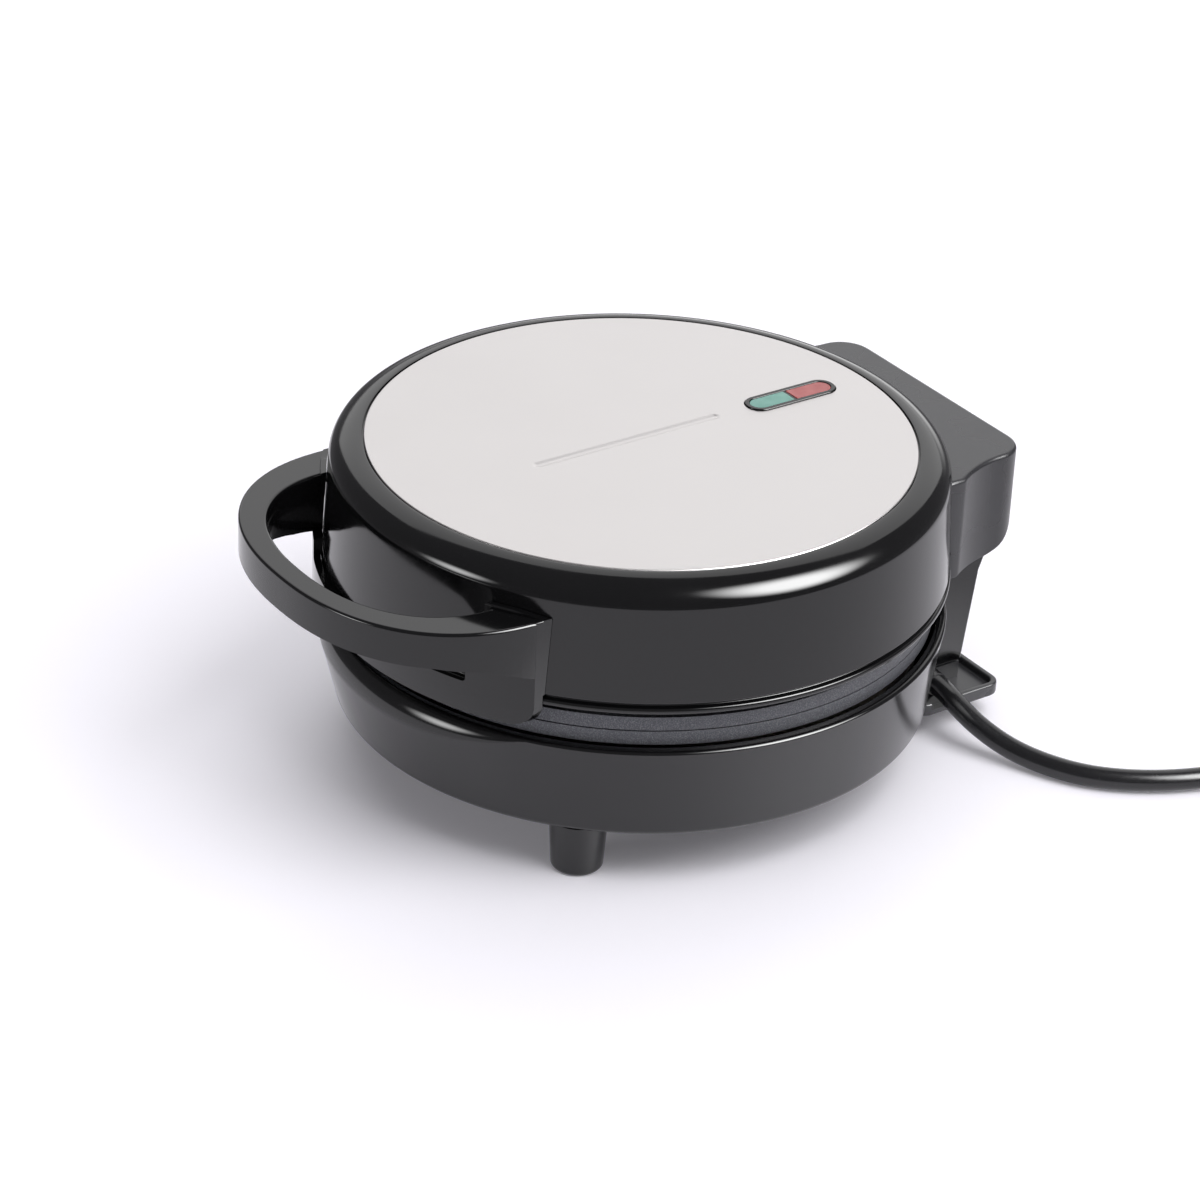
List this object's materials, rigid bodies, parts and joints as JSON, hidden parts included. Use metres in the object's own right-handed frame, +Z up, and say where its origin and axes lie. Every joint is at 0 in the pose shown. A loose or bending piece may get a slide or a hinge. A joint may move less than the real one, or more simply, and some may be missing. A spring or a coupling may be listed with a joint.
{
  "type": "cake pop maker",
  "caption": "Round countertop cooker with a hinged lid, a D-shaped front handle, plates with ball-shaped moulds, a rear cord tray and a mains cord with its plug.",
  "frame": {"origin": "on the table, under the centre of the appliance's box, which leaves out the cord and its plug", "axes": "+Z up, the handle at -Y, the hinge at +Y, +X to the right as seen from the handle"},
  "size_m": [0.3399, 0.3664, 0.1078],
  "materials": {
    "gloss_black_plastic": "high-gloss moulded plastic",
    "satin_black_plastic": "satin moulded plastic",
    "brushed_steel_disc": "fine brushed, satin",
    "coated_aluminium": "die-cast, dark non-stick coating",
    "bright_steel": "zinc-plated",
    "sheet_metal": "plain bright steel",
    "green_lens": "clear tinted plastic",
    "red_lens": "clear tinted plastic",
    "lamp_glass": "clear glass",
    "ceramic": "fired, matt",
    "cord_pvc": "soft satin PVC",
    "pin_brass": "bright turned"
  },
  "bodies": {
    "base": {"lower_housing": "gloss_black_plastic", "foot_front_right": "gloss_black_plastic", "foot_front_left": "gloss_black_plastic", "foot_rear_right": "gloss_black_plastic", "foot_rear_left": "gloss_black_plastic", "rear_post": "gloss_black_plastic", "cord_clamp": "satin_black_plastic", "cord_tray": "satin_black_plastic", "lower_plate": "coated_aluminium", "lower_plate_screw_1": "bright_steel", "lower_plate_screw_2": "bright_steel", "lower_plate_screw_3": "bright_steel", "post_screw_1": "bright_steel", "post_screw_2": "bright_steel", "tray_screw_1": "bright_steel", "tray_screw_2": "bright_steel", "hinge_pin": "bright_steel", "lower_heat_shield": "sheet_metal", "lower_heating_element": "sheet_metal", "terminal_block": "ceramic", "mains_cord": "cord_pvc", "cord_coil": "cord_pvc", "plug_body": "cord_pvc", "cord_gland": "cord_pvc", "plug_pin_left": "pin_brass", "plug_pin_right": "pin_brass"},
    "lid": {"upper_housing": "gloss_black_plastic", "steel_disc": "brushed_steel_disc", "window_bezel": "satin_black_plastic", "green_lens": "green_lens", "red_lens": "red_lens", "lamp_holder": "satin_black_plastic", "lamp_front": "lamp_glass", "lamp_rear": "lamp_glass", "handle": "gloss_black_plastic", "handle_screw_1": "bright_steel", "handle_screw_2": "bright_steel", "hinge_hood": "satin_black_plastic", "upper_plate": "coated_aluminium", "upper_plate_screw_1": "bright_steel", "upper_plate_screw_2": "bright_steel", "upper_plate_screw_3": "bright_steel", "upper_heating_element": "sheet_metal", "upper_heat_shield": "sheet_metal", "thermostat": "ceramic", "thermal_fuse": "ceramic"}
  },
  "joints": [
    {"name": "lid_hinge", "type": "hinge", "parent": "base", "child": "lid", "pos_m": [0, 0.11, 0.076], "axis": [-1, 0, 0], "range_deg": [0, 95]}
  ]
}
